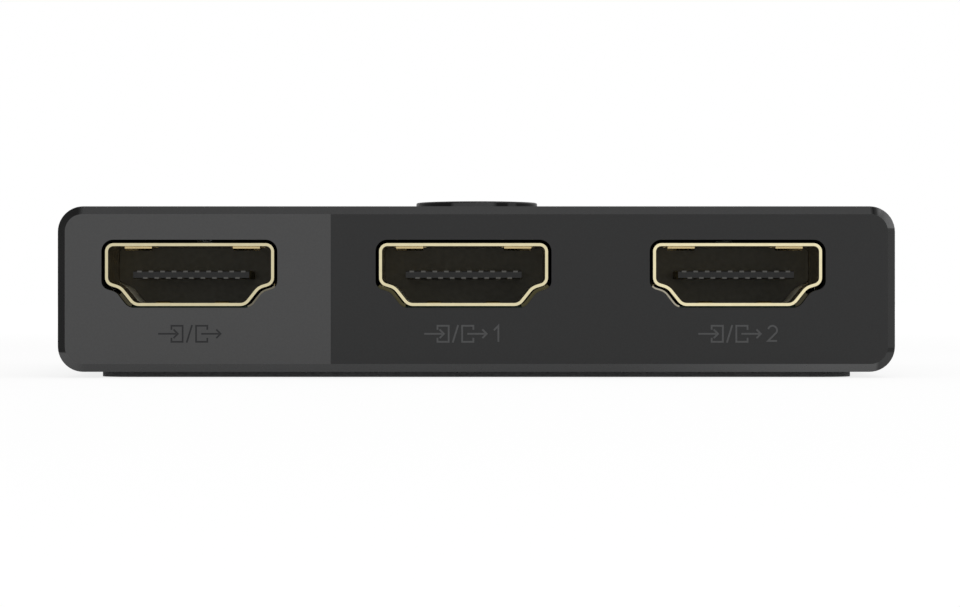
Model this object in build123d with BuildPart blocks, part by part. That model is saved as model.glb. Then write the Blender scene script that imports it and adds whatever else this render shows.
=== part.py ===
from build123d import *
import os
from math import radians, tan

# A slim three-socket HDMI switch that lies flat on a desk, in millimetres.
# +X is to the viewer's right, the sockets face -Y and +Z is up.
# The origin is under the middle of the foot pad, on the surface that it rests on.

# Case, outside
case_width = 72.3
case_depth = 60.0
case_height = 14.3
case_corner = 2.2
case_wall = 1.2
seam_edge = 0.12

# End panels
panel_thickness = 2.0
panel_chamfer = 0.7
spigot_depth = 1.6
spigot_wall = 1.0
spigot_fit = 0.1
lug_width = 8.0
lug_length = 10.0
lug_thickness = 0.8

# Foot pad
pad_thickness = 0.5
pad_side_margin = 3.22
pad_end_margin = 3.3
pad_corner = 3.0

# Sockets, as seen from the front
port_left_margin = 11.43
port_right_margin = 13.64
port_height = 8.4
shell_width = 14.56
shell_height = 5.41
shell_sheet = 0.25
shell_length = 12.0
shell_recess = 0.15
shell_foot_inset = 2.44
shell_waist_inset = 1.26
shell_waist_rise = 1.48
shell_shoulder_rise = 1.87
shell_foot_round = 1.0
shell_waist_round = 1.08
shell_shoulder_round = 0.77
shell_top_round = 0.72
aperture_side_gap = 0.3
aperture_top_gap = 0.3
aperture_bottom_gap = 0.16
aperture_waist_gap = 0.13

# Spring fingers cut in a socket's shell
top_finger_spread = 4.7
top_finger_width = 2.35
top_finger_dip = 0.33
top_finger_depth = 3.0
bottom_finger_spread = 2.57
bottom_finger_width = 1.2
bottom_finger_dip = 0.17
bottom_finger_depth = 3.15
finger_length = 3.6
finger_lip = 0.45
finger_slot = 0.2

# Soldered legs of a socket's shell
leg_width = 1.2
leg_setback = 4.5
leg_spacing = 5.96
leg_overlap = 0.8
leg_hole_gap = 0.2
solder_tail = 0.6

# Insulator and contacts of a socket
tongue_width = 10.04
tongue_thickness = 0.7
tongue_setback = 1.56
tongue_chamfer = 0.08
block_thickness = 3.0
insulator_fit = 0.02
insulator_inset = 0.6
contact_pitch = 1.0
contact_width = 0.4
contact_thickness = 0.15
contact_setback = 0.04
contact_upper_count = 10
contact_lower_count = 9
contact_foot = 0.9
contact_opening = 0.2

# Circuit board
board_thickness = 1.6
board_side_gap = 1.8
board_end_gap = 0.3
board_corner = 1.0

# Inner tray
tray_thickness = 1.0
tray_gap = 0.3
tray_corner = 1.5
tray_rib_width = 3.0
tray_rib_spread = 6.0
boss_diameter = 5.0

# Screws
screw_diameter = 2.0
screw_hole_gap = 0.1
thread_gap = 0.02
screw_tip_gap = 0.2
countersunk_head = 3.6
countersunk_angle = 90.0
countersunk_gap = 0.05
pan_head = 3.8
pan_head_height = 1.2
pan_head_round = 0.4
drive_width = 0.5
drive_span = 2.0
drive_depth = 0.45
case_screw_setback = 6.5
board_screw_setback = 5.0

# Push button
button_diameter = 11.6
button_rise = 1.24
button_hole_gap = 0.15
button_edge = 0.15
button_wall = 1.1
button_roof = 1.2
button_flange_width = 0.75
button_flange_thickness = 0.8
button_flange_gap = 0.05
button_stem = 4.0
button_hole_edge = 0.12

# Tactile switch under the button
switch_side = 6.0
switch_base_height = 3.1
switch_height = 5.0
switch_floor = 1.0
switch_bore = 5.0
cover_thickness = 0.3
cover_tab_width = 2.4
cover_tab_length = 1.4
plunger_diameter = 3.5
plunger_flange = 4.6
plunger_flange_thickness = 0.6
plunger_nub = 1.6
plunger_gap = 0.05
dome_diameter = 4.4
dome_height = 0.5
dome_sheet = 0.1
terminal_width = 0.7
terminal_thickness = 0.3
terminal_rise = 0.8
terminal_spread = 2.25
terminal_gap = 0.1

# Indicator lights behind the two outer sockets
light_gap = 2.95
led_size = (1.6, 0.8, 0.6)
pipe_diameter = 1.6
pipe_collar = 2.6
pipe_collar_thickness = 0.6
pipe_fit = 0.05
pipe_led_gap = 0.15

# Chips on the board, each as width, depth and height
multiplexer_size = (7.0, 7.0, 0.85)
multiplexer_gap = 1.9
controller_size = (3.0, 3.0, 0.75)
controller_gap = 4.5
regulator_size = (3.0, 1.6, 1.1)
regulator_gap = 4.5
protector_size = (2.5, 1.0, 0.5)
protector_spread = 2.6
protector_gap = 1.4
capacitor_size = (1.0, 0.5, 0.5)
capacitor_spacing = 2.2
capacitor_count = 6
capacitor_gap = 1.2
resistor_size = (1.6, 0.8, 0.45)
resistor_spacing = 2.6
resistor_count = 4
resistor_gap = 1.5

# Heights
case_bottom = pad_thickness
case_top = case_bottom + case_height
case_middle = case_bottom + case_height / 2
inner_floor = case_bottom + case_wall
inner_ceiling = case_top - case_wall
port_level = case_bottom + port_height
board_top = port_level - shell_height / 2
board_bottom = board_top - board_thickness
tray_bottom = inner_floor + lug_thickness
tail_level = board_bottom - solder_tail
cover_level = board_top + switch_base_height
dome_level = board_top + switch_floor
switch_top = board_top + switch_height

# Places across and along the case
port_middle = (port_left_margin - port_right_margin) / 2
inner_width = case_width - 2 * case_wall
inner_height = case_height - 2 * case_wall
inner_corner = case_corner - case_wall
panel_inside = case_depth / 2 - panel_thickness
shell_front = -case_depth / 2 + shell_recess
shell_rear = shell_front + shell_length
tongue_front = shell_front + tongue_setback
insulator_rear = shell_rear - insulator_inset
block_front = insulator_rear - block_thickness
light_row = shell_rear + light_gap
protector_row = shell_rear + protector_gap
multiplexer_row = switch_side / 2 + multiplexer_gap + multiplexer_size[1] / 2
controller_x = port_middle + (multiplexer_size[0] + controller_size[0]) / 2 + controller_gap
regulator_x = port_middle - (multiplexer_size[0] + regulator_size[0]) / 2 - regulator_gap
capacitor_row = multiplexer_row + (multiplexer_size[1] + capacitor_size[1]) / 2 + capacitor_gap
resistor_row = capacitor_row + (capacitor_size[1] + resistor_size[1]) / 2 + resistor_gap
board_width = inner_width - 2 * board_side_gap
board_length = 2 * (panel_inside - board_end_gap)
tray_length = 2 * (panel_inside - spigot_depth - tray_gap)

# What repeats
port_pitch = (case_width - port_left_margin - port_right_margin) / 2
port_steps = {"left": -1, "centre": 0, "right": 1}
port_places = {side: port_middle + step * port_pitch for side, step in port_steps.items()}
outer_ports = {side: port_places[side] for side in ("left", "right")}
contact_rows = (
    (contact_upper_count, tongue_thickness / 2),
    (contact_lower_count, contact_thickness - tongue_thickness / 2),
)
case_screw_row = panel_inside - case_screw_setback
case_screws = [(x, y) for x in outer_ports.values() for y in (-case_screw_row, case_screw_row)]
board_screw_row = panel_inside - board_screw_setback
board_screws = [
    (port_middle + half * port_pitch, y) for half in (-0.5, 0.5) for y in (-board_screw_row, board_screw_row)
]
leg_spread = (shell_width - shell_sheet) / 2
leg_rows = [shell_front + leg_setback + row * leg_spacing for row in (0, 1)]
terminal_x = switch_side / 2 + terminal_gap + terminal_thickness / 2


def save(piece, name):
    piece.part.label = name
    export_step(piece.part, f"parts/{name}.step")


def front_plane(y, x=0.0, z=0.0):
    """An upright plane that faces the front, about a point."""
    return Plane(origin=(x, y, z), x_dir=(1, 0, 0), z_dir=(0, -1, 0))


def contact_offsets(count):
    """Where the contacts of one row stand, from the socket's middle."""
    return [(index - (count - 1) / 2) * contact_pitch for index in range(count)]


def socket_outline(side_gap=0.0, top_gap=0.0, bottom_gap=0.0, waist_gap=0.0):
    """A socket's outline about its centre, wide side up, grown by the gaps."""
    low = -shell_height / 2 - bottom_gap
    high = shell_height / 2 + top_gap
    half = shell_width / 2 + side_gap
    with BuildSketch() as outline:
        with BuildLine():
            FilletPolyline(
                (0, low),
                (half - shell_foot_inset + waist_gap, low),
                (half - shell_waist_inset, low + shell_waist_rise - waist_gap),
                (half, low + shell_shoulder_rise - waist_gap),
                (half, high),
                (0, high),
                radius=[shell_foot_round, shell_waist_round, shell_shoulder_round, shell_top_round + top_gap],
            )
            mirror(about=Plane.YZ)
        make_face()
    return outline.sketch


# Extruded case sleeve with the holes for the button, the lights and the screws
def make_sleeve():
    with BuildPart() as sleeve:
        with BuildSketch(front_plane(-panel_inside, z=case_middle)):
            RectangleRounded(case_width, case_height, case_corner)
            RectangleRounded(inner_width, inner_height, inner_corner, mode=Mode.SUBTRACT)
        extrude(amount=-2 * panel_inside)
        ends = sleeve.faces().sort_by(Axis.Y)[:1] + sleeve.faces().sort_by(Axis.Y)[-1:]
        chamfer([edge for end in ends for edge in end.outer_wire().edges()], length=seam_edge)
        with Locations((0, 0, case_top)):
            Hole(button_diameter / 2 + button_hole_gap, depth=case_wall)
        hole_rim = sleeve.edges().filter_by(GeomType.CIRCLE).group_by(Axis.Z)[-1]
        chamfer(hole_rim, length=button_hole_edge)
        with Locations(*[(x, light_row, case_top) for x in outer_ports.values()]):
            Hole(pipe_diameter / 2 + pipe_fit, depth=case_wall)
        with Locations(*[Location((x, y, case_bottom), (180, 0, 0)) for x, y in case_screws]):
            CounterSinkHole(
                screw_diameter / 2 + screw_hole_gap,
                countersunk_head / 2 + countersunk_gap,
                depth=case_wall,
                counter_sink_angle=countersunk_angle,
            )
    save(sleeve, "case_sleeve")


# End panel: chamfered face, spigot inside the sleeve and two lugs under the tray
def make_panel(name, facing, sockets):
    outside = Plane(origin=(0, facing * case_depth / 2, case_middle), x_dir=(1, 0, 0), z_dir=(0, facing, 0))
    with BuildPart() as panel:
        with BuildSketch(outside):
            RectangleRounded(case_width, case_height, case_corner)
        extrude(amount=-panel_thickness)
        outer_face = panel.faces().sort_by(Axis((0, 0, 0), (0, facing, 0)))[-1]
        chamfer(outer_face.edges(), length=panel_chamfer)
        inner_face = panel.faces().sort_by(Axis((0, 0, 0), (0, facing, 0)))[0]
        chamfer(inner_face.edges(), length=seam_edge)
        with BuildSketch(outside.offset(-panel_thickness)):
            RectangleRounded(inner_width - 2 * spigot_fit, inner_height - 2 * spigot_fit, inner_corner)
            offset(amount=-spigot_wall, mode=Mode.SUBTRACT)
        extrude(amount=-spigot_depth)
        lug_middle = facing * (panel_inside - lug_length / 2)
        with Locations(*[(x, lug_middle, inner_floor) for x in outer_ports.values()]):
            Box(lug_width, lug_length, lug_thickness, align=(Align.CENTER, Align.CENTER, Align.MIN))
        with Locations(*[(x, facing * case_screw_row, tray_bottom) for x in outer_ports.values()]):
            Hole(screw_diameter / 2 + screw_hole_gap, depth=lug_thickness)
        for x in sockets:
            with BuildSketch(front_plane(-case_depth / 2, x, port_level)):
                add(
                    socket_outline(
                        aperture_side_gap,
                        aperture_top_gap,
                        aperture_bottom_gap,
                        aperture_waist_gap,
                    )
                )
            extrude(amount=-(panel_thickness + spigot_depth), mode=Mode.SUBTRACT)
    save(panel, name)


# Rubber foot pad, stuck on over the case screws
def make_pad():
    with BuildPart() as pad:
        with BuildSketch():
            RectangleRounded(case_width - 2 * pad_side_margin, case_depth - 2 * pad_end_margin, pad_corner)
        extrude(amount=pad_thickness)
    save(pad, "foot_pad")


# Moulded tray that carries the board and takes both sets of screws
def make_tray():
    with BuildPart() as tray:
        with BuildSketch(Plane.XY.offset(tray_bottom)):
            RectangleRounded(board_width, tray_length, tray_corner)
        extrude(amount=tray_thickness)
        with BuildSketch(Plane.XY.offset(inner_floor)):
            with Locations((-tray_rib_spread, 0), (tray_rib_spread, 0)):
                Rectangle(tray_rib_width, tray_length)
        extrude(amount=lug_thickness)
        with BuildSketch(Plane.XY.offset(tray_bottom)):
            with Locations(*case_screws, *board_screws):
                Circle(boss_diameter / 2)
        extrude(amount=board_bottom - tray_bottom)
        with Locations(*[(x, y, board_bottom) for x, y in (*case_screws, *board_screws)]):
            Hole(screw_diameter / 2 + thread_gap, depth=board_bottom - tray_bottom)
    save(tray, "inner_tray")


# Circuit board with its screw holes and the holes of every soldered leg
def make_board():
    leg_holes = [
        (x + step * leg_spread, y) for x in port_places.values() for step in (-1, 1) for y in leg_rows
    ]
    with BuildPart() as board:
        with BuildSketch(Plane.XY.offset(board_bottom)):
            RectangleRounded(board_width, board_length, board_corner)
            with Locations(*board_screws):
                Circle(screw_diameter / 2 + screw_hole_gap, mode=Mode.SUBTRACT)
            with Locations(*leg_holes):
                Rectangle(shell_sheet + 2 * leg_hole_gap, leg_width + 2 * leg_hole_gap, mode=Mode.SUBTRACT)
            with GridLocations(2 * terminal_x, 2 * terminal_spread, 2, 2):
                Rectangle(
                    terminal_thickness + 2 * leg_hole_gap,
                    terminal_width + 2 * leg_hole_gap,
                    mode=Mode.SUBTRACT,
                )
        extrude(amount=board_thickness)
    save(board, "circuit_board")


# Countersunk screws up through the sleeve, the lugs and the tray
def make_case_screws():
    head_height = (countersunk_head - screw_diameter) / 2 / tan(radians(countersunk_angle / 2))
    base = (Align.CENTER, Align.CENTER, Align.MIN)
    with BuildPart() as screws:
        with Locations(*[(x, y, case_bottom) for x, y in case_screws]):
            Cone(countersunk_head / 2, screw_diameter / 2, head_height, align=base)
            Cylinder(screw_diameter / 2, board_bottom - screw_tip_gap - case_bottom, align=base)
            Box(drive_span, drive_width, drive_depth, align=base, mode=Mode.SUBTRACT)
            Box(drive_width, drive_span, drive_depth, align=base, mode=Mode.SUBTRACT)
    save(screws, "case_screws")


# Pan-head screws down through the board into the tray
def make_board_screws():
    shank_length = board_top - tray_bottom - screw_tip_gap
    base = (Align.CENTER, Align.CENTER, Align.MIN)
    tip = (Align.CENTER, Align.CENTER, Align.MAX)
    with BuildPart() as screws:
        with Locations(*[(x, y, board_top) for x, y in board_screws]):
            Cylinder(pan_head / 2, pan_head_height, align=base)
        fillet(screws.edges().filter_by(GeomType.CIRCLE).group_by(Axis.Z)[-1], radius=pan_head_round)
        with Locations(*[(x, y, board_top) for x, y in board_screws]):
            Cylinder(screw_diameter / 2, shank_length, align=tip)
        with Locations(*[(x, y, board_top + pan_head_height) for x, y in board_screws]):
            Box(drive_span, drive_width, drive_depth, align=tip, mode=Mode.SUBTRACT)
            Box(drive_width, drive_span, drive_depth, align=tip, mode=Mode.SUBTRACT)
    save(screws, "board_screws")


# Folded shell of one socket: a tube with spring fingers, four legs and an open rear underside
def make_shell(side, x):
    fingers = (
        (1, top_finger_spread, top_finger_width, top_finger_dip, top_finger_depth),
        (-1, bottom_finger_spread, bottom_finger_width, bottom_finger_dip, bottom_finger_depth),
    )
    with BuildPart() as shell:
        with BuildSketch(front_plane(shell_front, x, port_level)):
            add(socket_outline())
            offset(amount=-shell_sheet, mode=Mode.SUBTRACT)
        extrude(amount=-shell_length)
        for up, spread, width, dip, depth in fingers:
            wall = port_level + up * shell_height / 2
            tip = shell_front + depth - finger_lip
            bend = shell_front + depth
            root = bend + finger_length
            for finger_x in (x - spread, x + spread):
                with BuildSketch(Plane.XY.offset(wall)):
                    with Locations((finger_x, (tip - finger_slot + root) / 2)):
                        Rectangle(width + 2 * finger_slot, root - tip + finger_slot)
                extrude(amount=shell_sheet, both=True, mode=Mode.SUBTRACT)
                with BuildSketch(Plane.YZ.offset(finger_x - width / 2)):
                    with BuildLine():
                        Polyline(
                            (root + shell_sheet, wall),
                            (root, wall),
                            (bend, wall - up * dip),
                            (tip, wall - up * dip / 2),
                            (tip, wall - up * (dip / 2 + shell_sheet)),
                            (bend, wall - up * (dip + shell_sheet)),
                            (root, wall - up * shell_sheet),
                            (root + shell_sheet, wall - up * shell_sheet),
                            close=True,
                        )
                    make_face()
                extrude(amount=width)
        with Locations((x, insulator_rear - contact_opening, board_top)):
            Box(
                shell_width,
                insulator_inset + contact_opening,
                shell_shoulder_rise,
                align=(Align.CENTER, Align.MIN, Align.MIN),
                mode=Mode.SUBTRACT,
            )
        with Locations(*[(x + step * leg_spread, y, tail_level) for step in (-1, 1) for y in leg_rows]):
            Box(
                shell_sheet,
                leg_width,
                board_top + shell_shoulder_rise + leg_overlap - tail_level,
                align=(Align.CENTER, Align.CENTER, Align.MIN),
            )
    save(shell, f"hdmi_shell_{side}")


# Insulator of one socket: a block that fills the shell's rear and carries the tongue
def make_insulator(side, x):
    with BuildPart() as insulator:
        with BuildSketch(front_plane(tongue_front, x, port_level)):
            Rectangle(tongue_width, tongue_thickness)
        extrude(amount=-(insulator_rear - tongue_front))
        nose = insulator.edges().filter_by(Axis.X).group_by(Axis.Y)[0]
        chamfer(nose, length=tongue_chamfer)
        with BuildSketch(front_plane(block_front, x, port_level)):
            add(socket_outline())
            offset(amount=-(shell_sheet + insulator_fit))
        extrude(amount=-(insulator_rear - block_front))
        with BuildSketch(front_plane(tongue_front, x, port_level)):
            for count, level in contact_rows:
                middle = level - contact_thickness / 2
                with Locations(*[(offset_x, middle) for offset_x in contact_offsets(count)]):
                    Rectangle(contact_width, contact_thickness)
        extrude(amount=-(insulator_rear - tongue_front), mode=Mode.SUBTRACT)
    save(insulator, f"hdmi_insulator_{side}")


# Contacts of one socket: strips along both faces of the tongue, soldered down behind the block
def make_contacts(side, x):
    start = tongue_front + contact_setback
    drop = insulator_rear + contact_thickness
    with BuildPart() as contacts:
        for count, level in contact_rows:
            top = port_level + level
            first = [Plane.YZ.offset(x + offset_x - contact_width / 2) for offset_x in contact_offsets(count)]
            with BuildSketch(*first):
                with BuildLine():
                    Polyline(
                        (start, top),
                        (drop, top),
                        (drop, board_top + contact_thickness),
                        (drop + contact_foot, board_top + contact_thickness),
                        (drop + contact_foot, board_top),
                        (insulator_rear, board_top),
                        (insulator_rear, top - contact_thickness),
                        (start, top - contact_thickness),
                        close=True,
                    )
                make_face()
            extrude(amount=contact_width)
    save(contacts, f"hdmi_contacts_{side}")


# Button cap: a cup with a stem that rests on the switch and a flange under the sleeve's top
def make_button():
    radius = button_diameter / 2
    roof = case_top + button_rise - button_roof
    flange_top = inner_ceiling - button_flange_gap
    with BuildPart() as button:
        with BuildSketch(Plane.XZ):
            with BuildLine():
                Polyline(
                    (0, switch_top),
                    (button_stem / 2, switch_top),
                    (button_stem / 2, roof),
                    (radius - button_wall, roof),
                    (radius - button_wall, flange_top - button_flange_thickness),
                    (radius + button_flange_width, flange_top - button_flange_thickness),
                    (radius + button_flange_width, flange_top),
                    (radius, flange_top),
                    (radius, roof + button_roof),
                    (0, roof + button_roof),
                    close=True,
                )
            make_face()
        revolve(axis=Axis.Z)
        fillet(button.edges().filter_by(GeomType.CIRCLE).group_by(Axis.Z)[-1], radius=button_edge)
    save(button, "button_cap")


# Tactile switch: moulded base with a round well
def make_switch_base():
    with BuildPart() as base:
        with BuildSketch(Plane.XY.offset(board_top)):
            Rectangle(switch_side, switch_side)
        extrude(amount=switch_base_height)
        with Locations((0, 0, cover_level)):
            Hole(switch_bore / 2, depth=switch_base_height - switch_floor)
    save(base, "switch_base")


# Tactile switch: sheet cover with a tab down two sides
def make_switch_cover():
    with BuildPart() as cover:
        with BuildSketch(Plane.XY.offset(cover_level)):
            Rectangle(switch_side, switch_side)
            Rectangle(cover_tab_width, switch_side + 2 * cover_thickness)
            Circle(plunger_diameter / 2 + plunger_gap, mode=Mode.SUBTRACT)
        extrude(amount=cover_thickness)
        with BuildSketch(Plane.XY.offset(cover_level)):
            with GridLocations(0, switch_side + cover_thickness, 1, 2):
                Rectangle(cover_tab_width, cover_thickness)
        extrude(amount=-cover_tab_length)
    save(cover, "switch_cover")


# Tactile switch: plunger with a flange under the cover and a nub on the dome
def make_plunger():
    flange_top = cover_level - plunger_gap
    flange_bottom = flange_top - plunger_flange_thickness
    with BuildPart() as plunger:
        with BuildSketch(Plane.XZ):
            with BuildLine():
                Polyline(
                    (0, dome_level + dome_height),
                    (plunger_nub / 2, dome_level + dome_height),
                    (plunger_nub / 2, flange_bottom),
                    (plunger_flange / 2, flange_bottom),
                    (plunger_flange / 2, flange_top),
                    (plunger_diameter / 2, flange_top),
                    (plunger_diameter / 2, switch_top),
                    (0, switch_top),
                    close=True,
                )
            make_face()
        revolve(axis=Axis.Z)
    save(plunger, "switch_plunger")


# Tactile switch: snap dome on the floor of the well
def make_dome():
    with BuildPart() as dome:
        with BuildSketch(Plane.XZ):
            with BuildLine():
                outer = TangentArc(
                    (0, dome_level + dome_height),
                    (dome_diameter / 2, dome_level),
                    tangent=(1, 0),
                )
                inner = TangentArc(
                    (0, dome_level + dome_height - dome_sheet),
                    (dome_diameter / 2 - dome_sheet, dome_level),
                    tangent=(1, 0),
                )
                Line(outer @ 0, inner @ 0)
                Line(outer @ 1, inner @ 1)
            make_face()
        revolve(axis=Axis.Z)
    save(dome, "switch_dome")


# Tactile switch: four bent terminals through the board
def make_terminals():
    inside = switch_side / 2
    middle = inside + terminal_gap
    outside = middle + terminal_thickness
    top = board_top + terminal_rise
    with BuildPart() as terminals:
        for row in (-terminal_spread, terminal_spread):
            with BuildSketch(Plane.XZ.offset(-row)):
                with BuildLine():
                    Polyline(
                        (inside, top),
                        (outside, top),
                        (outside, tail_level),
                        (middle, tail_level),
                        (middle, top - terminal_thickness),
                        (inside, top - terminal_thickness),
                        close=True,
                    )
                make_face()
                mirror(about=Plane.YZ)
            extrude(amount=terminal_width / 2, both=True)
    save(terminals, "switch_terminals")


# Light pipe from over a lamp to the case's top face, held by a collar
def make_light_pipe(side, x):
    foot = board_top + led_size[2] + pipe_led_gap
    with BuildPart() as pipe:
        with BuildSketch(Plane.XY.offset(foot)):
            with Locations((x, light_row)):
                Circle(pipe_diameter / 2)
        extrude(amount=case_top - foot)
        with BuildSketch(Plane.XY.offset(inner_ceiling)):
            with Locations((x, light_row)):
                Circle(pipe_collar / 2)
        extrude(amount=-pipe_collar_thickness)
    save(pipe, f"light_pipe_{side}")


# Parts that sit on the board as plain packages
def make_packages(name, size, places):
    with BuildPart() as packages:
        with Locations(*[(x, y, board_top) for x, y in places]):
            Box(*size, align=(Align.CENTER, Align.CENTER, Align.MIN))
    save(packages, name)


def in_a_row(count, spacing, y):
    """Places in one row about the middle socket."""
    return [(port_middle + (index - (count - 1) / 2) * spacing, y) for index in range(count)]


os.makedirs("parts", exist_ok=True)
make_sleeve()
make_panel("front_panel", -1, port_places.values())
make_panel("rear_panel", 1, ())
make_pad()
make_tray()
make_board()
make_case_screws()
make_board_screws()
for port_side, port_x in port_places.items():
    make_shell(port_side, port_x)
    make_insulator(port_side, port_x)
    make_contacts(port_side, port_x)
make_button()
make_switch_base()
make_switch_cover()
make_plunger()
make_dome()
make_terminals()
for port_side, port_x in outer_ports.items():
    make_packages(f"led_{port_side}", led_size, [(port_x, light_row)])
    make_light_pipe(port_side, port_x)
make_packages("multiplexer_chip", multiplexer_size, [(port_middle, multiplexer_row)])
make_packages("controller_chip", controller_size, [(controller_x, multiplexer_row)])
make_packages("voltage_regulator", regulator_size, [(regulator_x, multiplexer_row)])
make_packages(
    "surge_protectors",
    protector_size,
    [(x + step * protector_spread, protector_row) for x in port_places.values() for step in (-1, 1)],
)
make_packages("capacitors", capacitor_size, in_a_row(capacitor_count, capacitor_spacing, capacitor_row))
make_packages("resistors", resistor_size, in_a_row(resistor_count, resistor_spacing, resistor_row))
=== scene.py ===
import math
import bmesh
import bpy
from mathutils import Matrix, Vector


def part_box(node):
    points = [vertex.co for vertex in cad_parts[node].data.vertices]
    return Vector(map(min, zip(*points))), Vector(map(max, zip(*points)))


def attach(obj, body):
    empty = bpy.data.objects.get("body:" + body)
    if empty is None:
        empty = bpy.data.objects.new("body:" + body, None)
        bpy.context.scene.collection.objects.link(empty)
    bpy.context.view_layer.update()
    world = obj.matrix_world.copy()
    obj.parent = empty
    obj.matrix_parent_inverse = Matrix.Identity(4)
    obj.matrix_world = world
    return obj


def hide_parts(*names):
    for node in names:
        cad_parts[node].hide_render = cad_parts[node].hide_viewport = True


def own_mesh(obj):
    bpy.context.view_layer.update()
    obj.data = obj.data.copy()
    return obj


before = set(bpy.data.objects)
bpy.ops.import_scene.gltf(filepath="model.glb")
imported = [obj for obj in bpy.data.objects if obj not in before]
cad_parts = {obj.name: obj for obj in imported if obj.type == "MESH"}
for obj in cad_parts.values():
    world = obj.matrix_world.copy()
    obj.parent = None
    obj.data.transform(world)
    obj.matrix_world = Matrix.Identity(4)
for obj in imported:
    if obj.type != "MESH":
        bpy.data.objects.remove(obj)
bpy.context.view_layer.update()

# The looks of a three-socket HDMI switch, in metres, in the frame of its CAD model.
# +X is to the viewer's right, the sockets face -Y and +Z is up.
MM = 0.001

# Where the front face and the sockets are
panel_low, panel_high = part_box("front_panel")
front_face = panel_low.y
top_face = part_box("case_sleeve")[1].z
sides = ("left", "centre", "right")
shell_boxes = {side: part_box("hdmi_shell_" + side) for side in sides}
shell_middles = {side: (low + high) / 2 for side, (low, high) in shell_boxes.items()}
shell_front = shell_boxes["left"][0].y
shell_top = shell_boxes["left"][1].z

# Camera, level and fitted to the photograph
CAMERA_PLACE = (0.3125 * MM, -290.0 * MM, 6.405 * MM)
CAMERA_TILT = math.radians(90)
LENS = 113.2
SENSOR_WIDTH = 36.0
CLIP_START = 1 * MM
CLIP_END = 100

# Grain that several materials share
SATIN_GRAIN = 5200.0
SATIN_DEPTH = 0.0012 * MM
BROAD_GRAIN = 600.0
BROAD_RATIO = 9
FINE_DETAIL = 4.0
BROAD_DETAIL = 2.0
SPECKLE = (0.96, 1.04)
NOISE_LOW, NOISE_HIGH = 0.3, 0.7

# Front face
FIELD_BORDER = -12.548 * MM
FACE_SKIN = 0.005 * MM
FIELD_GREY = (0.0690, 0.0692, 0.0695)
FACE_GREY = (0.0285, 0.0286, 0.0288)
FACE_ROUGHNESS = (0.405, 0.435)
CASE_ROUGHNESS = 0.42
CASE_SPECULAR = 0.125

# Painted reflections on the bare edge: greys along the case's width at the top and at the bottom, and on
# both sides
EDGE_WIDTH = 0.71 * MM
EDGE_SMOOTHER = 0.15
EDGE_TINT = (1.0, 1.005, 1.015)
EDGE_LEFT_REFLECTION = 0.0065
EDGE_RIGHT_REFLECTION = 0.0300
EDGE_NOTCH_DARK_REFLECTION = 0.0170
# Top edge: painted reflections, with a dark spot and a bright painted glint at the right corner
TOP_EDGE_REFLECTIONS = (
    (panel_low.x + 1.80 * MM, EDGE_LEFT_REFLECTION),
    (panel_low.x + 2.05 * MM, 0.0185),
    (panel_high.x - 2.05 * MM, 0.0185),
    (panel_high.x - 1.98 * MM, 0.0005),
    (panel_high.x - 1.68 * MM, 0.0005),
    (panel_high.x - 1.56 * MM, 0.0400),
    (panel_high.x - 1.15 * MM, 0.0680),
    (panel_high.x - 0.85 * MM, 0.0950),
    (panel_high.x, 0.1150),
)
# Bottom edge: painted reflections, lighter towards the right
LOW_EDGE_REFLECTIONS = (
    (panel_low.x + 1.60 * MM, 0.0660),
    (panel_low.x + 2.40 * MM, 0.0540),
    (12.0 * MM, 0.0540),
    (30.0 * MM, 0.0900),
    (panel_high.x - 1.65 * MM, 0.0900),
    (panel_high.x - 1.45 * MM, 0.0420),
)
TOP_EDGE_END = panel_high.z - 1.90 * MM
TOP_EDGE_BLEND = 0.05 * MM
LOW_EDGE_END = panel_low.z + 1.60 * MM
NOTCH_FOOT = panel_low.z + 1.75 * MM
NOTCH_HEAD = panel_low.z + 2.10 * MM

# Cut walls of the front panel beside the sockets' sloped sides, painted a warm grey that stands in for
# reflected light
CUT_WALL_REFLECTION = (0.0600, 0.0560, 0.0450)
CUT_INNER = 4.6 * MM
CUT_OUTER = 6.6 * MM
CUT_HEAD = shell_top - 4.1 * MM
CUT_FOOT = shell_top - 5.7 * MM

# Lips in those cuts, strips coloured as painted highlights and painted olive reflections: name, socket,
# side, gap to the cut, width, distance of their upper end, colour
LIP_OLIVE_REFLECTION = (0.057, 0.050, 0.020)
CUT_LIP_HIGHLIGHTS = (
    ("reflection_lip_left_outer", "left", -1, 0.07 * MM, 0.29 * MM, 4.45 * MM, (0.040, 0.035, 0.017)),
    ("highlight_lip_left_inner", "left", 1, 0.01 * MM, 0.15 * MM, 3.75 * MM, (0.185, 0.170, 0.125)),
    ("reflection_lip_centre_left", "centre", -1, 0.01 * MM, 0.28 * MM, 3.75 * MM, LIP_OLIVE_REFLECTION),
    ("reflection_lip_centre_right", "centre", 1, 0.01 * MM, 0.28 * MM, 3.75 * MM, LIP_OLIVE_REFLECTION),
    ("highlight_lip_right_inner", "right", -1, 0.01 * MM, 0.14 * MM, 3.75 * MM, (0.480, 0.440, 0.340)),
    ("reflection_lip_right_outer", "right", 1, 0.07 * MM, 0.29 * MM, 4.45 * MM, (0.035, 0.031, 0.015)),
)
LIP_FINISH = dict(roughness=0.5, specular=0.2, change=0.04)
LIP_DEPTH = 0.12 * MM
LIP_THICKNESS = 0.10 * MM
LIP_SPAN = (4.5 * MM, 7.7 * MM)
LIP_FOOT = 5.54 * MM
EDGE_DECIMALS = 7

# Socket shells: pale gold on the rim, painted shade deeper inside, with a painted reflection as a lighter
# band far down the sloped walls
# The rim is painted lighter on the sockets further right, as painted light
LIT_GOLD_RIM = {
    "left": (0.613, 0.551, 0.354),
    "centre": (0.707, 0.636, 0.409),
    "right": (0.803, 0.722, 0.465),
}
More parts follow.
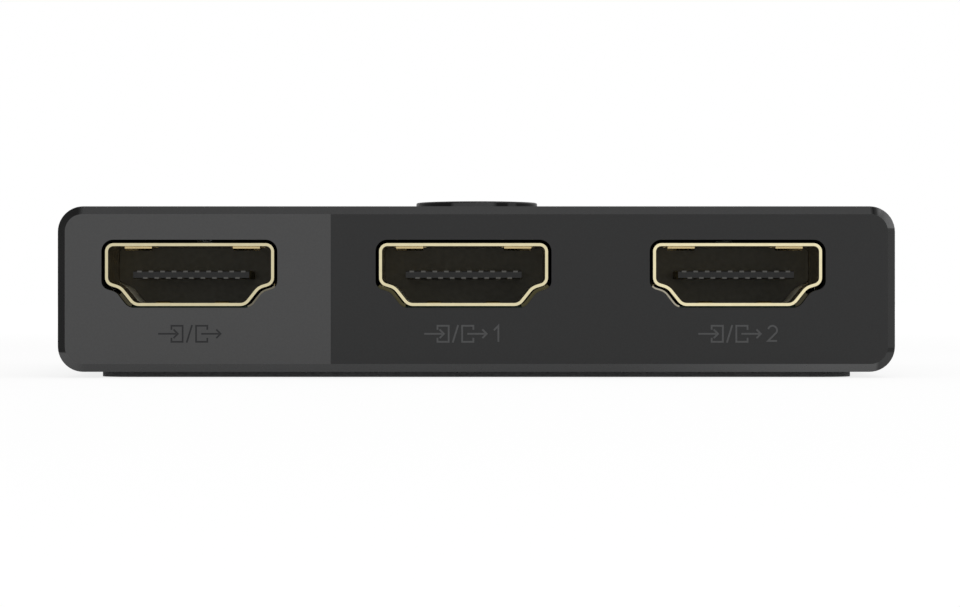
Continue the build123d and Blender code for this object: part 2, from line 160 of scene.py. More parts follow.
# Painted shade: inside, on the low part and on the legs
GOLD_INSIDE_SHADE = (0.620, 0.500, 0.270)
GOLD_LOW_SHADE = (0.120, 0.085, 0.030)
GOLD_LEG_SHADE = (0.020, 0.017, 0.010)
GOLD_BAND_REFLECTION = (0.960, 0.930, 0.770)
GOLD_GRAIN = 1800.0
GOLD_STRETCH = (1, 0.12, 1)
GOLD_DEPTH = 0.0004 * MM
GOLD_ROUGHNESS = (0.16, 0.26)
RIM_DEPTH = 0.3 * MM
INSIDE_DEPTH = 0.8 * MM
BAND_START = 3.4 * MM
BAND_LAST = 7.5 * MM
BAND_BLEND = 0.5 * MM
BAND_HEAD = 3.3 * MM
BAND_FULL = 3.75 * MM
BAND_FOOT = 5.12 * MM
SLOPE_START = 4.2 * MM
LOW_START = 4.7 * MM
LOW_BLEND = 0.25 * MM
LEG_INSET = 0.2 * MM
LEG_HEAD = 2.9 * MM

# Insulators: dark on the tongue's nose, black inside with an olive tint painted as the gold's reflection,
# and darker towards the right
NOSE_GREY = (0.002, 0.002, 0.002)
NOSE_DEPTH = 0.3 * MM
BLOCK_LEFT = (0.037, 0.032, 0.014)
BLOCK_RIGHT = (0.023, 0.021, 0.009)
BLOCK_REACH = 6.0 * MM
BLOCK_DARKENING = (0, 0.2)
BLOCK_GRAIN = 2500.0
BLOCK_STRETCH = (1, 0.3, 1)
BLOCK_DEPTH = 0.002 * MM
BLOCK_ROUGHNESS = (0.38, 0.46)

# Contacts, with tips painted dark as shade
TIP_SHADE = (0.085, 0.083, 0.078)
TIP_DEPTH = 0.3 * MM
PLATING_DARK = (0.55, 0.48, 0.30)
PLATING_LIGHT = (0.62, 0.55, 0.36)
PLATING_GRAIN = 3000.0
PLATING_DETAIL = 3.0
PLATING_STRETCH = (1, 0.1, 1)
PLATING_ROUGHNESS = (0.25, 0.4)

# Push button: painted reflections on its side, a lighter stripe and a narrow one
BUTTON_DARK = 0.0110
BUTTON_LIGHT_REFLECTION = 0.0760
BUTTON_NARROW_REFLECTION = 0.0470
BUTTON_SIDE_REFLECTIONS = (
    (-2.50 * MM, BUTTON_DARK),
    (-2.10 * MM, BUTTON_LIGHT_REFLECTION),
    (1.50 * MM, BUTTON_LIGHT_REFLECTION),
    (1.95 * MM, BUTTON_DARK),
    (2.85 * MM, BUTTON_DARK),
    (3.05 * MM, BUTTON_NARROW_REFLECTION),
    (3.60 * MM, BUTTON_NARROW_REFLECTION),
    (3.85 * MM, BUTTON_DARK),
)
BUTTON_TOP = (0.0300, 0.0301, 0.0303)
BUTTON_EDGE = 0.14 * MM
BUTTON_ROUGHNESS = (0.345, 0.375)

# Foot pad: its sides catch little light under the case, so they are paler than its sole
RUBBER_DARK = (0.132, 0.132, 0.134)
RUBBER_LIGHT = (0.160, 0.160, 0.162)
SOLE_DARK = (0.024, 0.024, 0.025)
SOLE_LIGHT = (0.040, 0.040, 0.041)
SOLE_SKIN = 0.02 * MM
PIT_SCALE = 2600.0
PIT_TONES = (0.1, 0.6)
PIT_DEPTH = 0.01 * MM
RUBBER_GRAIN = 500.0
RUBBER_ROUGHNESS = (0.74, 0.88)

# Circuit board: solder mask between and over the tracks
MASK_DARK = (0.008, 0.052, 0.022)
MASK_LIGHT = (0.012, 0.085, 0.034)
MASK_GRAIN = 3000.0
MASK_ROUGHNESS = (0.26, 0.4)
TRACK_SCALE = 420.0
TRACK_STRETCH = (1, 0.35, 1)
TRACK_EDGE = (0.32, 0.36)
TRACK_DEPTH = 0.02 * MM
TRACK_STRENGTH = 0.5

# Plain finishes, by material slot
PLAIN_FINISHES = {
    "case_metal": dict(
        name="anodised_case", colour=FACE_GREY, roughness=CASE_ROUGHNESS, specular=CASE_SPECULAR,
        grain=SATIN_GRAIN, change=0.05, depth=SATIN_DEPTH, roughness_change=0.015,
    ),
    "moulding": dict(
        name="tray_plastic", colour=(0.03, 0.03, 0.032), roughness=0.55,
        grain=1600.0, change=0.12, depth=0.006 * MM,
    ),
    "screw": dict(
        name="plated_steel", colour=(0.52, 0.52, 0.53), roughness=0.3, metallic=1.0,
        grain=2400.0, change=0.08, depth=0.001 * MM,
    ),
    "tin_plate": dict(
        name="tin_plate", colour=(0.58, 0.58, 0.57), roughness=0.38, metallic=1.0,
        grain=2000.0, change=0.08, depth=0.001 * MM,
    ),
    "lamp": dict(
        name="lamp_resin", colour=(0.78, 0.76, 0.62), roughness=0.2,
        grain=1500.0, change=0.05, depth=0.001 * MM,
    ),
    "clear": dict(
        name="milky_clear", colour=(0.72, 0.75, 0.75), roughness=0.25,
        grain=1800.0, change=0.04, depth=0.001 * MM,
    ),
    "chip": dict(
        name="chip_resin", colour=(0.016, 0.016, 0.018), roughness=0.5,
        grain=3600.0, change=0.25, depth=0.004 * MM,
    ),
    "ceramic_part": dict(
        name="ceramic", colour=(0.42, 0.33, 0.24), roughness=0.45,
        grain=3200.0, change=0.12, depth=0.002 * MM,
    ),
}

# What two of them have beyond that, by material slot and socket
EXTRA_VALUES = {
    "lamp": {
        "Subsurface Weight": 0.3,
        "Subsurface Radius": (0.4 * MM, 0.4 * MM, 0.3 * MM),
    },
    "clear": {
        "Transmission Weight": 0.45,
        "IOR": 1.49,
    },
}

# Marks, with the proportions of their strokes in mark heights
DARK_INK = (0.019, 0.019, 0.020)
LIGHT_INK = (0.068, 0.069, 0.070)
INK_FINISH = dict(roughness=0.5, specular=0.2, grain=6500.0, change=0.08, depth=0.0006 * MM)
INK_THICKNESS = 0.004 * MM
THINNER_EACH = 0.06
STROKE = 0.15 * MM
SHARPEST_BEND = 0.35
ARC_STEPS = 14
MARK_DROP = 7.81 * MM
MARK_HEIGHT = 1.38 * MM
MARK_SHIFT = -0.7 * MM
DIGIT_SHIFT = 3.0 * MM
LAMP_DIGIT_HEIGHT = 1.6 * MM
LAMP_DIGIT_GAP = 2.2 * MM
BARB = 0.27
FRAME_LIP = 0.25
FRAME_SHUT = 0.42
FRAME_FREE = 1.12
ARROW_IN = (-1.95, -0.72)
ARROW_OUT = (0.74, 1.95)
SLASH = (0.17, 0.55)
DIGIT_RADIUS = 0.28
DIGIT_CROWN = (165, -30)

# Stage: to the camera and in gloss the floor glows white, a little less so near the object
WHITE = (1, 1, 1, 1)
FLOOR_RADIUS = 6.0
FLOOR_SIDES = 96
FLOOR_PAINT = (0.86, 0.86, 0.86, 1)
FLOOR_WHITE = 1.05
FLOOR_GLOW = 0.78
FLOOR_FADE = (0.15, 0.6)
WORLD_LIGHT = 0.46
WORLD_WHITE = 1.0

# Soft lamps: place, width, height, brightness and whether gloss mirrors them
LAMP_TARGET = Vector((0, 0, 7 * MM))
LAMPS = {
    "front_lamp": ((0.12, -0.75, 0.22), 0.9, 0.5, 1.3, False),
    "top_lamp": ((0.1, -0.05, 0.7), 0.8, 0.6, 1.5, True),
    "right_lamp": ((0.7, -0.2, 0.25), 0.3, 0.45, 1.2, True),
}

# Colour sockets of the mix node, whose socket names repeat for each kind of data
MIX_FIRST, MIX_SECOND, MIX_RESULT = 6, 7, 2


# Node helpers, whose owner is a material or the world

def add_node(owner, kind, **settings):
    node = owner.node_tree.nodes.new(kind)
    for key, value in settings.items():
        setattr(node, key, value)
    return node


def connect(owner, source, target):
    owner.node_tree.links.new(source, target)


def math_node(owner, operation, first, second=None):
    node = add_node(owner, "ShaderNodeMath", operation=operation)
    for socket, value in zip(node.inputs, (first, second)):
        if isinstance(value, (int, float)):
            socket.default_value = value
        elif value is not None:
            connect(owner, value, socket)
    return node.outputs["Value"]


def blank_material(name, roughness, metallic=0.0, specular=0.5):
    material = bpy.data.materials.new(name)
    material.use_nodes = True
    shader = material.node_tree.nodes["Principled BSDF"]
    shader.inputs["Roughness"].default_value = roughness
    shader.inputs["Metallic"].default_value = metallic
    shader.inputs["Specular IOR Level"].default_value = specular
    return material, shader


def place(material):
    return add_node(material, "ShaderNodeTexCoord").outputs["Object"]


def axes(material, names):
    node = add_node(material, "ShaderNodeSeparateXYZ")
    connect(material, place(material), node.inputs["Vector"])
    return [node.outputs[name] for name in names]


def stretched(material, stretch):
    mapping = add_node(material, "ShaderNodeMapping")
    mapping.inputs["Scale"].default_value = stretch
    connect(material, place(material), mapping.inputs["Vector"])
    return mapping.outputs["Vector"]


def noise(material, scale, detail, stretch=(1, 1, 1)):
    texture = add_node(material, "ShaderNodeTexNoise")
    texture.inputs["Scale"].default_value = scale
    texture.inputs["Detail"].default_value = detail
    connect(material, stretched(material, stretch), texture.inputs["Vector"])
    return texture.outputs["Fac"]


def cells(material, scale, stretch=(1, 1, 1)):
    texture = add_node(material, "ShaderNodeTexVoronoi")
    texture.inputs["Scale"].default_value = scale
    connect(material, stretched(material, stretch), texture.inputs["Vector"])
    return texture.outputs["Distance"]


def spread(material, factor, low, high, start=NOISE_LOW, end=NOISE_HIGH):
    node = add_node(material, "ShaderNodeMapRange")
    node.inputs["From Min"].default_value = start
    node.inputs["From Max"].default_value = end
    node.inputs["To Min"].default_value = low
    node.inputs["To Max"].default_value = high
    connect(material, factor, node.inputs["Value"])
    return node.outputs["Result"]


def blended(material, factor, first, second):
    node = add_node(material, "ShaderNodeMix", data_type="RGBA")
    connect(material, factor, node.inputs["Factor"])
    for socket, value in zip((node.inputs[MIX_FIRST], node.inputs[MIX_SECOND]), (first, second)):
        if isinstance(value, tuple):
            socket.default_value = (*value, 1)
        else:
            connect(material, value, socket)
    return node.outputs[MIX_RESULT]


def ramp(material, value, stops):
    first, last = stops[0][0], stops[-1][0]
    node = add_node(material, "ShaderNodeValToRGB")
    elements = node.color_ramp.elements
    while len(elements) < len(stops):
        elements.new(1.0)
    for element, (position, tone) in zip(elements, stops):
        element.position = (position - first) / (last - first)
        element.color = (*(tone * share for share in EDGE_TINT), 1)
    connect(material, spread(material, value, 0, 1, first, last), node.inputs["Fac"])
    return node.outputs["Color"]


def between(material, value, low, high):
    above = math_node(material, "GREATER_THAN", value, low)
    return math_node(material, "MULTIPLY", above, math_node(material, "LESS_THAN", value, high))


def along_row(material, x):
    pitch = shell_middles["right"].x - shell_middles["centre"].x
    steps = math_node(material, "SUBTRACT", x, shell_middles["left"].x - pitch / 2)
    return math_node(material, "SUBTRACT", math_node(material, "MODULO", steps, pitch), pitch / 2)


def grey(tone):
    return (tone,) * 3


def shades(colour, change):
    return tuple(c * (1 - change) for c in colour), tuple(min(c * (1 + change), 1) for c in colour)


def speckled(material, colour, grain):
    tint = add_node(material, "ShaderNodeVectorMath", operation="SCALE")
    connect(material, colour, tint.inputs[0])
    connect(material, spread(material, grain, *SPECKLE), tint.inputs["Scale"])
    return tint.outputs["Vector"]


def relief(material, shader, height, depth, strength=1.0):
    bump = add_node(material, "ShaderNodeBump")
    bump.inputs["Distance"].default_value = depth
    bump.inputs["Strength"].default_value = strength
    connect(material, height, bump.inputs["Height"])
    connect(material, bump.outputs["Normal"], shader.inputs["Normal"])


def finish_material(name, colour, roughness, metallic=0.0, specular=0.5, grain=4000.0, change=0.06,
                    depth=0.002 * MM, roughness_change=0.05):
    material, shader = blank_material(name, roughness, metallic, specular)
    fine = noise(material, grain, FINE_DETAIL)
    colour_out = blended(material, spread(material, fine, 0, 1), *shades(colour, change))
    connect(material, colour_out, shader.inputs["Base Color"])
    broad = noise(material, grain / BROAD_RATIO, BROAD_DETAIL)
    rough = spread(material, broad, roughness - roughness_change, roughness + roughness_change)
    connect(material, rough, shader.inputs["Roughness"])
    relief(material, shader, fine, depth)
    return material


# Materials of the object

def anodised_front():
    material, shader = blank_material("anodised_front", CASE_ROUGHNESS, specular=CASE_SPECULAR)
    fine = noise(material, SATIN_GRAIN, FINE_DETAIL)
    x, y, z = axes(material, "XYZ")
    # Printed field and plain field
    on_face = math_node(material, "LESS_THAN", y, front_face + FACE_SKIN)
    on_left = math_node(material, "LESS_THAN", x, FIELD_BORDER)
    field = blended(material, on_left, FACE_GREY, FIELD_GREY)
    # Bare edge, painted with reflections: both sides with a dark notch, then the top, then the bottom
    at_right = math_node(material, "GREATER_THAN", x, 0.0)
    ends = blended(material, at_right, grey(EDGE_LEFT_REFLECTION), grey(EDGE_RIGHT_REFLECTION))
    # Painted dark reflection in a notch low on the right side
    in_notch = math_node(material, "MULTIPLY", at_right, between(material, z, NOTCH_FOOT, NOTCH_HEAD))
    notch_reflected = blended(material, in_notch, ends, grey(EDGE_NOTCH_DARK_REFLECTION))
    near_top = spread(material, z, 0, 1, TOP_EDGE_END - TOP_EDGE_BLEND, TOP_EDGE_END + TOP_EDGE_BLEND)
    top_reflected = blended(material, near_top, notch_reflected, ramp(material, x, TOP_EDGE_REFLECTIONS))
    near_foot = spread(material, z, 1, 0, LOW_EDGE_END, NOTCH_FOOT)
    edge = blended(material, near_foot, top_reflected, ramp(material, x, LOW_EDGE_REFLECTIONS))
    on_edge = math_node(material, "LESS_THAN", y, front_face + EDGE_WIDTH)
    rim = blended(material, on_edge, FACE_GREY, edge)
    # Cut walls, painted with reflected light
    from_middle = math_node(material, "ABSOLUTE", along_row(material, x))
    beside = between(material, from_middle, CUT_INNER, CUT_OUTER)
    on_cut = math_node(material, "MULTIPLY", beside, between(material, z, CUT_FOOT, CUT_HEAD))
    walls = blended(material, on_cut, rim, CUT_WALL_REFLECTION)
    painted = blended(material, on_face, walls, field)
    connect(material, speckled(material, painted, fine), shader.inputs["Base Color"])
    bare = math_node(material, "SUBTRACT", on_edge, math_node(material, "MAXIMUM", on_face, on_cut))
    connect(material, math_node(material, "MAXIMUM", bare, 0.0), shader.inputs["Metallic"])
    broad = spread(material, noise(material, BROAD_GRAIN, BROAD_DETAIL), *FACE_ROUGHNESS)
    smoother = math_node(material, "MULTIPLY", bare, EDGE_SMOOTHER)
    connect(material, math_node(material, "SUBTRACT", broad, smoother), shader.inputs["Roughness"])
    relief(material, shader, fine, SATIN_DEPTH)
    return material


def rubber():
    material, shader = blank_material("rubber", roughness=0.8, specular=0.3)
    pits = cells(material, PIT_SCALE)
    tone = spread(material, pits, 0, 1, *PIT_TONES)
    on_sole = math_node(material, "LESS_THAN", axes(material, "Z")[0], SOLE_SKIN)
    flank = blended(material, tone, RUBBER_DARK, RUBBER_LIGHT)
    sole = blended(material, tone, SOLE_DARK, SOLE_LIGHT)
    connect(material, blended(material, on_sole, flank, sole), shader.inputs["Base Color"])
    broad = noise(material, RUBBER_GRAIN, BROAD_DETAIL)
    connect(material, spread(material, broad, *RUBBER_ROUGHNESS), shader.inputs["Roughness"])
    relief(material, shader, pits, PIT_DEPTH)
    return material


def gold_plate(side):
    material, shader = blank_material("gold_plate_" + side, roughness=0.2, metallic=1.0)
    fine = noise(material, GOLD_GRAIN, FINE_DETAIL, GOLD_STRETCH)
    x, y, z = axes(material, "XYZ")
    from_middle = math_node(material, "SUBTRACT", x, shell_middles[side].x)
    sideways = math_node(material, "ABSOLUTE", from_middle)
    # Legs outside the shell, painted nearly black as shade
    half_width = shell_boxes[side][1].x - shell_middles[side].x
    outside = math_node(material, "GREATER_THAN", sideways, half_width - LEG_INSET)
    leg = math_node(material, "MULTIPLY", outside, math_node(material, "LESS_THAN", z, shell_top - LEG_HEAD))
    # Painted reflection: a light band on the sloped walls, which begins farther in towards its upper end
    starts = spread(material, z, BAND_START, BAND_LAST, shell_top - BAND_FULL, shell_top - BAND_HEAD)
    depth = math_node(material, "SUBTRACT", y, shell_front)
    far_in = spread(material, math_node(material, "SUBTRACT", depth, starts), 0, 1, 0.0, BAND_BLEND)
    on_slope = between(material, z, shell_top - BAND_FOOT, shell_top - BAND_HEAD)
    free = math_node(material, "SUBTRACT", math_node(material, "GREATER_THAN", sideways, SLOPE_START), leg)
    reflection_band = math_node(material, "MULTIPLY", far_in, math_node(material, "MULTIPLY", on_slope, free))
    # Rim, then painted shade inside and on the floor
    inside = spread(material, y, 0, 1, shell_front + RIM_DEPTH, shell_front + INSIDE_DEPTH)
    low_down = spread(material, z, 1, 0, shell_top - LOW_START - LOW_BLEND, shell_top - LOW_START)
    inner = blended(material, low_down, GOLD_INSIDE_SHADE, GOLD_LOW_SHADE)
    reflected = blended(material, reflection_band, inner, GOLD_BAND_REFLECTION)
    shaded = blended(material, leg, reflected, GOLD_LEG_SHADE)
    # Rim painted lighter or darker per socket, as painted light
    gold = blended(material, inside, LIT_GOLD_RIM[side], shaded)
    connect(material, speckled(material, gold, fine), shader.inputs["Base Color"])
    connect(material, math_node(material, "SUBTRACT", 1.0, reflection_band), shader.inputs["Metallic"])
    connect(material, spread(material, fine, *GOLD_ROUGHNESS), shader.inputs["Roughness"])
    relief(material, shader, fine, GOLD_DEPTH)
    return material


def contact_metal():
    material, shader = blank_material("contact_metal", roughness=0.3, metallic=1.0)
    fine = noise(material, PLATING_GRAIN, PLATING_DETAIL, PLATING_STRETCH)
    plated = blended(material, spread(material, fine, 0, 1), PLATING_DARK, PLATING_LIGHT)
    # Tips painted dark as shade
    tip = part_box("hdmi_contacts_left")[0].y + TIP_DEPTH
    on_tip = math_node(material, "LESS_THAN", axes(material, "Y")[0], tip)
    connect(material, blended(material, on_tip, plated, TIP_SHADE), shader.inputs["Base Color"])
    connect(material, spread(material, fine, *PLATING_ROUGHNESS), shader.inputs["Roughness"])
    return material


def insulator_plastic():
    material, shader = blank_material("insulator_plastic", roughness=0.42, specular=0.36)
    fine = noise(material, BLOCK_GRAIN, FINE_DETAIL, BLOCK_STRETCH)
    x, y = axes(material, "XY")
    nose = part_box("hdmi_insulator_left")[0].y + NOSE_DEPTH
    on_nose = math_node(material, "LESS_THAN", y, nose)
    rightwards = spread(material, along_row(material, x), 0, 1, -BLOCK_REACH, BLOCK_REACH)
    # Olive tint painted as the gold's reflection
    block = blended(material, rightwards, BLOCK_LEFT, BLOCK_RIGHT)
    grained = blended(material, spread(material, fine, *BLOCK_DARKENING), block, NOSE_GREY)
    connect(material, blended(material, on_nose, grained, NOSE_GREY), shader.inputs["Base Color"])
    connect(material, spread(material, fine, *BLOCK_ROUGHNESS), shader.inputs["Roughness"])
    relief(material, shader, fine, BLOCK_DEPTH)
    return material


def button_plastic():
    material, shader = blank_material("button_satin", roughness=0.36, specular=0.07)
    fine = noise(material, SATIN_GRAIN, FINE_DETAIL)
    x, z = axes(material, "XZ")
    on_top = math_node(material, "GREATER_THAN", z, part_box("button_cap")[1].z - BUTTON_EDGE)
    # Painted reflections on the side
    painted = blended(material, on_top, ramp(material, x, BUTTON_SIDE_REFLECTIONS), BUTTON_TOP)
    connect(material, speckled(material, painted, fine), shader.inputs["Base Color"])
    broad = noise(material, BROAD_GRAIN, BROAD_DETAIL)
    connect(material, spread(material, broad, *BUTTON_ROUGHNESS), shader.inputs["Roughness"])
    relief(material, shader, fine, SATIN_DEPTH)
    return material


def solder_mask():
    material, shader = blank_material("solder_mask", roughness=0.32)
    tracks = cells(material, TRACK_SCALE, TRACK_STRETCH)
    weave = noise(material, MASK_GRAIN, BROAD_DETAIL)
    copper = spread(material, tracks, 0, 1, *TRACK_EDGE)
    connect(material, blended(material, copper, MASK_DARK, MASK_LIGHT), shader.inputs["Base Color"])
    connect(material, spread(material, weave, *MASK_ROUGHNESS), shader.inputs["Roughness"])
    relief(material, shader, copper, TRACK_DEPTH, TRACK_STRENGTH)
    return material


def plain_finish(slot_name):
    material = finish_material(**PLAIN_FINISHES[slot_name])
    shader = material.node_tree.nodes["Principled BSDF"]
    for socket, value in EXTRA_VALUES.get(slot_name, {}).items():
        shader.inputs[socket].default_value = value
    return material


SLOT_MATERIALS = {slot_name: plain_finish(slot_name) for slot_name in PLAIN_FINISHES}
SLOT_MATERIALS.update({"gold_plate_" + side: gold_plate(side) for side in sides})
SLOT_MATERIALS.update({
    "panel": anodised_front(),
    "rubber": rubber(),
    "board": solder_mask(),
    "insulator": insulator_plastic(),
    "contact": contact_metal(),
    "button": button_plastic(),
})


# Every CAD node gets its material

def dress(name, material):
    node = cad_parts[name]
    if not node.material_slots:
        node.data.materials.append(material)
    for slot in node.material_slots:
        slot.material = material


NODE_SLOTS = {
    "case_sleeve": "case_metal", "rear_panel": "case_metal", "front_panel": "panel",
    "foot_pad": "rubber", "inner_tray": "moulding", "circuit_board": "board",
    "case_screws": "screw", "board_screws": "screw",
    "button_cap": "button", "switch_base": "moulding", "switch_plunger": "moulding",
    "switch_cover": "tin_plate", "switch_dome": "tin_plate", "switch_terminals": "tin_plate",
    "led_left": "lamp", "led_right": "lamp", "light_pipe_left": "clear", "light_pipe_right": "clear",
    "multiplexer_chip": "chip", "controller_chip": "chip", "voltage_regulator": "chip",
    "surge_protectors": "chip", "resistors": "chip", "capacitors": "ceramic_part",
}
for side in sides:
    NODE_SLOTS["hdmi_shell_" + side] = "gold_plate_" + side
    NODE_SLOTS["hdmi_insulator_" + side] = "insulator"
    NODE_SLOTS["hdmi_contacts_" + side] = "contact"
for node_name, slot_name in NODE_SLOTS.items():
    dress(node_name, SLOT_MATERIALS[slot_name])


# New objects

def add_object(name, data):
    thing = bpy.data.objects.new(name, data)
    bpy.context.scene.collection.objects.link(thing)
    return thing


def add_mesh(name, mesh_maker, material):
    mesh = bpy.data.meshes.new(name)
    mesh_maker.to_mesh(mesh)
    mesh_maker.free()
    mesh.materials.append(material)
    return add_object(name, mesh)


# Snap dome of the tactile switch, as a copy with a mesh of its own on the case

def make_dome():
    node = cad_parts["switch_dome"]
    dome = add_object("snap_dome", node.data.copy())
    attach(dome, "case")
    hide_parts("switch_dome")
    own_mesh(dome)


make_dome()


# Thin strokes, drawn in a plane from points (across, up)

across, up, back = Vector((1, 0, 0)), Vector((0, 0, 1)), Vector((0, 1, 0))


def offsets(points, half):
    last = len(points) - 1
    outline = []
    for i, point in enumerate(points):
        before = (point - points[max(i - 1, 0)]).normalized()
        after = (points[min(i + 1, last)] - point).normalized()
        if i == 0:
            before = after
        if i == last:
            after = before
        along = (before + after).normalized()
        sideways = Vector((-along.y, along.x))
        reach = half / max(sideways.dot(Vector((-after.y, after.x))), SHARPEST_BEND)
        outline.append((point + sideways * reach, point - sideways * reach))
    return outline


def draw_strokes(name, strokes, origin, across_axis, up_axis, width, material,
                 height=INK_THICKNESS):
    out_axis = across_axis.cross(up_axis)
    mesh_maker = bmesh.new()
    for place_in_row, stroke in enumerate(strokes):
        thickness = height * (1 - THINNER_EACH * place_in_row)
        rows = []
        for left, right in offsets([Vector(point) for point in stroke], width / 2):
            row = []
            for lift in (0, thickness):
                for flat in (left, right):
                    spot = origin + across_axis * flat.x + up_axis * flat.y + out_axis * lift
                    row.append(mesh_maker.verts.new(spot))
            rows.append(row)
        for near, far in zip(rows, rows[1:]):
            for a, b in ((0, 1), (1, 3), (3, 2), (2, 0)):
                mesh_maker.faces.new((near[a], near[b], far[b], far[a]))
        for end in (rows[0], rows[-1]):
            mesh_maker.faces.new((end[0], end[1], end[3], end[2]))
    bmesh.ops.recalc_face_normals(mesh_maker, faces=mesh_maker.faces)
    piece = add_mesh(name, mesh_maker, material)
    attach(piece, "case")


def arc(centre, radius, start, end):
    turns = [math.radians(start + (end - start) * i / ARC_STEPS) for i in range(ARC_STEPS + 1)]
    return [(centre[0] + radius * math.cos(t), centre[1] + radius * math.sin(t)) for t in turns]


def shifted(strokes, move):
    return [[(x + move, y) for x, y in stroke] for stroke in strokes]


def arrow(tail, tip, height):
    barb = BARB * height
    return [[(tail, 0), (tip - STROKE, 0)], [(tip - barb, barb), (tip, 0), (tip - barb, -barb)]]


def bracket(shut, free, height):
    half = height / 2
    lip = FRAME_LIP * height
    return [[(free, lip), (free, half), (shut, half), (shut, -half), (free, -half), (free, -lip)]]


def numeral(digit, height):
    half = height / 2
    radius = DIGIT_RADIUS * height
    if digit == 1:
        return [[(-radius, half - radius), (0, half), (0, -half)]]
    crown = arc((0, half - radius), radius, *DIGIT_CROWN)
    foot = STROKE / 2 - half
    return [crown + [(-radius, foot), (radius, foot)]]


def port_strokes(height):
    lean, rise = (share * height for share in SLASH)
    arrow_in, arrow_out = ([share * height for share in ends] for ends in (ARROW_IN, ARROW_OUT))
    way_in = bracket(-FRAME_SHUT * height, -FRAME_FREE * height, height) + arrow(*arrow_in, height)
    way_out = bracket(FRAME_SHUT * height, FRAME_FREE * height, height) + arrow(*arrow_out, height)
    return way_in + [[(-lean, -rise), (lean, rise)]] + way_out


# Marks under the sockets and beside the lamps

INKS = {
    "dark": finish_material("dark_ink", DARK_INK, **INK_FINISH),
    "light": finish_material("light_ink", LIGHT_INK, **INK_FINISH),
}
for side, digit, shade in (("left", None, "dark"), ("centre", 1, "light"), ("right", 2, "light")):
    middle = shell_middles[side]
    strokes = port_strokes(MARK_HEIGHT)
    if digit:
        strokes = shifted(strokes, MARK_SHIFT) + shifted(numeral(digit, MARK_HEIGHT), DIGIT_SHIFT)
    spot = Vector((middle.x, front_face, shell_boxes[side][1].z - MARK_DROP))
    draw_strokes("port_mark_" + side, strokes, spot, across, up, STROKE, INKS[shade])

for side, digit in (("left", 1), ("right", 2)):
    low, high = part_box("light_pipe_" + side)
    spot = Vector(((low.x + high.x) / 2, high.y + LAMP_DIGIT_GAP, top_face))
    strokes = numeral(digit, LAMP_DIGIT_HEIGHT)
    draw_strokes("lamp_mark_" + side, strokes, spot, across, back, STROKE, INKS["light"])


# Lips: thin strips just inside the front panel's cuts, along the sloped sides, that carry painted highlights
# and painted reflections

def cut_edge(side, end, head):
    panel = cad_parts["front_panel"]
    middle = shell_middles[side]
    edge = set()
    for corner in panel.data.vertices:
        spot = panel.matrix_world @ corner.co
        on_face = spot.y < front_face + FACE_SKIN
        beside = LIP_SPAN[0] < end * (spot.x - middle.x) < LIP_SPAN[1]
        if on_face and beside and shell_top - LIP_FOOT < spot.z < shell_top - head:
            edge.add((round(spot.x, EDGE_DECIMALS), round(spot.z, EDGE_DECIMALS)))
    return [Vector(spot) for spot in sorted(edge, reverse=end > 0)]


def make_lip(name, side, end, gap, width, head, colour):
    middle = Vector((shell_middles[side].x, shell_middles[side].z))
    pairs = offsets(cut_edge(side, end, head), width / 2 + gap)
    line = [min(pair, key=lambda spot: (spot - middle).length) for pair in pairs]
    # The lip's colour is a painted highlight or a painted reflection
    metal = finish_material(name, colour, **LIP_FINISH)
    origin = back * (front_face + LIP_DEPTH + LIP_THICKNESS)
    draw_strokes(name, [line], origin, across, up, width, metal, LIP_THICKNESS)


for lip in CUT_LIP_HIGHLIGHTS:
    make_lip(*lip)


# Stage: a pale floor, white round it, and soft lamps

def shown_or_mirrored(owner):
    rays = add_node(owner, "ShaderNodeLightPath").outputs
    either = math_node(owner, "MAXIMUM", rays["Is Camera Ray"], rays["Is Glossy Ray"])
    return math_node(owner, "MAXIMUM", either, rays["Is Transmission Ray"])


def light_source(owner, kind, strength):
    node = add_node(owner, kind)
    node.inputs["Color"].default_value = WHITE
    node.inputs["Strength"].default_value = strength
    return node


def show_mixed(owner, factor, first, second, output_kind):
    mix = add_node(owner, "ShaderNodeMixShader")
    for source, target in zip((factor, first.outputs[0], second.outputs[0]), mix.inputs):
        connect(owner, source, target)
    connect(owner, mix.outputs[0], add_node(owner, output_kind).inputs["Surface"])


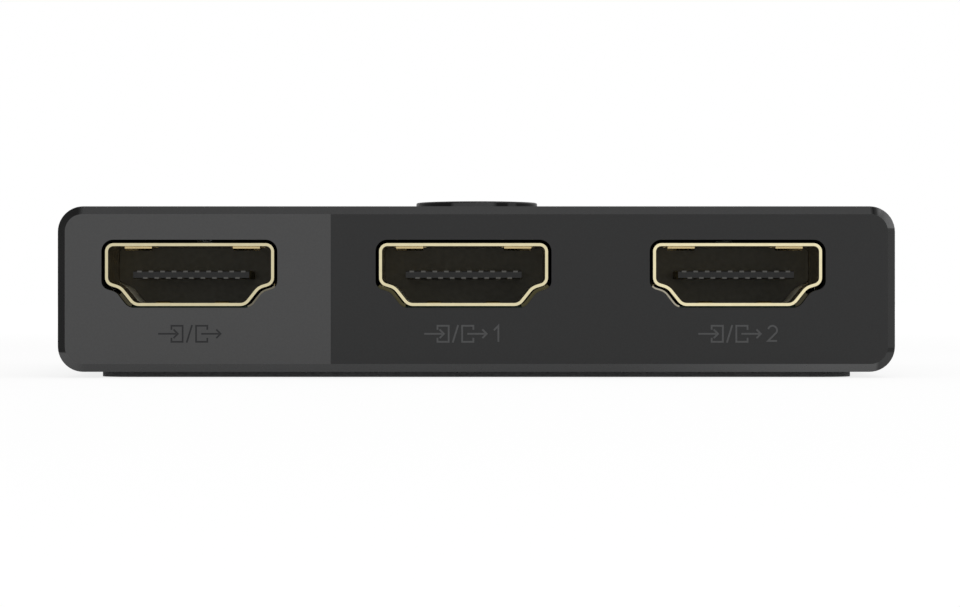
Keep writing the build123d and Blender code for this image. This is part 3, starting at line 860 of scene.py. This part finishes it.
def floor_material():
    material = bpy.data.materials.new("pale_floor")
    material.use_nodes = True
    material.cycles.emission_sampling = "NONE"
    material.node_tree.nodes.clear()
    paint = add_node(material, "ShaderNodeBsdfDiffuse")
    paint.inputs["Color"].default_value = FLOOR_PAINT
    glow = light_source(material, "ShaderNodeEmission", FLOOR_WHITE)
    distance = add_node(material, "ShaderNodeVectorMath", operation="LENGTH")
    connect(material, place(material), distance.inputs[0])
    share = spread(material, distance.outputs["Value"], FLOOR_GLOW, 1.0, *FLOOR_FADE)
    factor = math_node(material, "MULTIPLY", shown_or_mirrored(material), share)
    show_mixed(material, factor, paint, glow, "ShaderNodeOutputMaterial")
    return material


def make_floor():
    mesh_maker = bmesh.new()
    bmesh.ops.create_circle(mesh_maker, cap_ends=True, radius=FLOOR_RADIUS, segments=FLOOR_SIDES)
    floor = add_mesh("floor", mesh_maker, floor_material())


def make_world():
    world = bpy.data.worlds.new("studio")
    bpy.context.scene.world = world
    world.use_nodes = True
    world.cycles.sampling_method = "NONE"
    world.node_tree.nodes.clear()
    soft = light_source(world, "ShaderNodeBackground", WORLD_LIGHT)
    white = light_source(world, "ShaderNodeBackground", WORLD_WHITE)
    show_mixed(world, shown_or_mirrored(world), soft, white, "ShaderNodeOutputWorld")


def soft_lamp(name, spot, width, height, brightness, mirrored):
    data = bpy.data.lights.new(name, "AREA")
    data.shape = "RECTANGLE"
    data.size = width
    data.size_y = height
    data.energy = brightness * math.pi * width * height
    lamp = add_object(name, data)
    lamp.location = spot
    lamp.rotation_euler = (LAMP_TARGET - Vector(spot)).to_track_quat("-Z", "Y").to_euler()
    lamp.visible_camera = False
    lamp.visible_glossy = mirrored


make_floor()
make_world()
for lamp_name, lamp_settings in LAMPS.items():
    soft_lamp(lamp_name, *lamp_settings)


# Camera

camera_data = bpy.data.cameras.new("camera")
camera_data.lens = LENS
camera_data.sensor_fit = "HORIZONTAL"
camera_data.sensor_width = SENSOR_WIDTH
camera_data.clip_start = CLIP_START
camera_data.clip_end = CLIP_END
camera = add_object("camera", camera_data)
camera.location = CAMERA_PLACE
camera.rotation_euler = (CAMERA_TILT, 0, 0)
bpy.context.scene.camera = camera
bpy.context.scene.view_settings.view_transform = "Standard"
